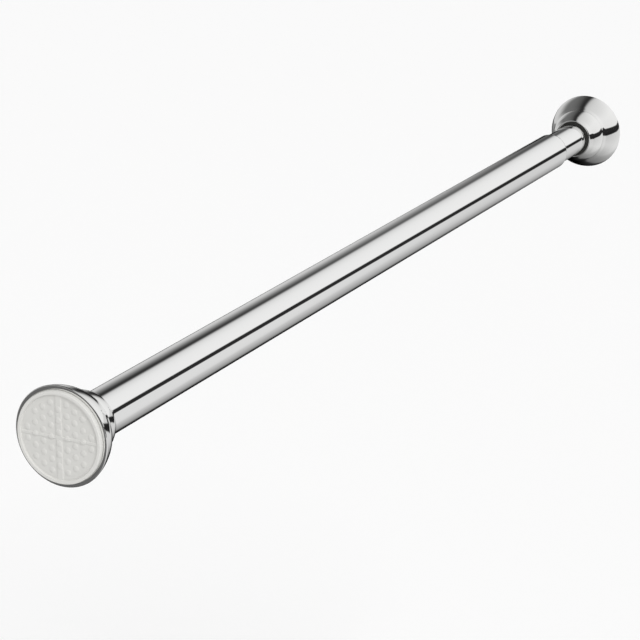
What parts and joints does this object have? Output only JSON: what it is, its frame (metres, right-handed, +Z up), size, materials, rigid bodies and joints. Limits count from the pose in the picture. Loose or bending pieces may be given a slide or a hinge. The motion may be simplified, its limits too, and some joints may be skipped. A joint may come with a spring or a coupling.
{
  "type": "spring tension rod",
  "caption": "Telescopic spring tension rod with stepped bell flanges, soft wall pads, a twist lock and an inner compression spring.",
  "frame": {"origin": "centre of the near pad's contact face, where it meets the near wall", "axes": "+X along the rod from the near wall to the far wall, +Z up"},
  "size_m": [0.72, 0.053, 0.053],
  "materials": {
    "tube_steel": "polished stainless steel",
    "bell_chrome": "polished with fine turning marks",
    "pad_rubber": "soft matt moulding",
    "dark_nylon": "moulded",
    "white_nylon": "moulded",
    "black_rubber": "matt",
    "cone_zinc": "die cast zinc",
    "plated_steel": "zinc plated",
    "spring_steel": "oiled spring wire"
  },
  "bodies": {
    "outer": {"outer_tube": "tube_steel", "tube_end_bush": "dark_nylon", "near_bell": "bell_chrome", "near_carrier": "dark_nylon", "near_pad": "pad_rubber"},
    "lock": {"expander_sleeve": "white_nylon", "drag_ring": "black_rubber"},
    "wedge": {"wedge_nut": "cone_zinc"},
    "spindle": {"spindle": "plated_steel", "retaining_clip": "plated_steel", "thrust_washer": "plated_steel", "spring_seat": "plated_steel", "compression_spring": "spring_steel", "stop_washer": "plated_steel", "stop_nut": "plated_steel"},
    "inner": {"inner_tube": "tube_steel", "inner_plug": "white_nylon", "plug_rivets": "plated_steel", "slide_ring": "white_nylon", "far_bell": "bell_chrome", "far_carrier": "dark_nylon", "far_pad": "pad_rubber", "far_mouth_ring": "dark_nylon"}
  },
  "joints": [
    {"name": "telescope", "type": "slide", "parent": "outer", "child": "lock", "axis": [1, 0, 0], "range_m": [-0.008, 0.4]},
    {"name": "twist", "type": "hinge", "parent": "lock", "child": "spindle", "pos_m": [0.085, 0, 0], "axis": [-1, 0, 0], "range_deg": [0, 360]},
    {"name": "wedge_draw", "type": "slide", "parent": "lock", "child": "wedge", "axis": [1, 0, 0], "range_m": [0, 0.00205]},
    {"name": "spring_stroke", "type": "slide", "parent": "spindle", "child": "inner", "axis": [1, 0, 0], "range_m": [-0.03, 0], "stiffness_N_per_m": 5000, "springref_m": 0.003, "deforming": ["compression_spring"]}
  ],
  "couplings": [
    {"joint": "wedge_draw", "follows": "twist", "m_per_rad": 0.00031831}
  ]
}
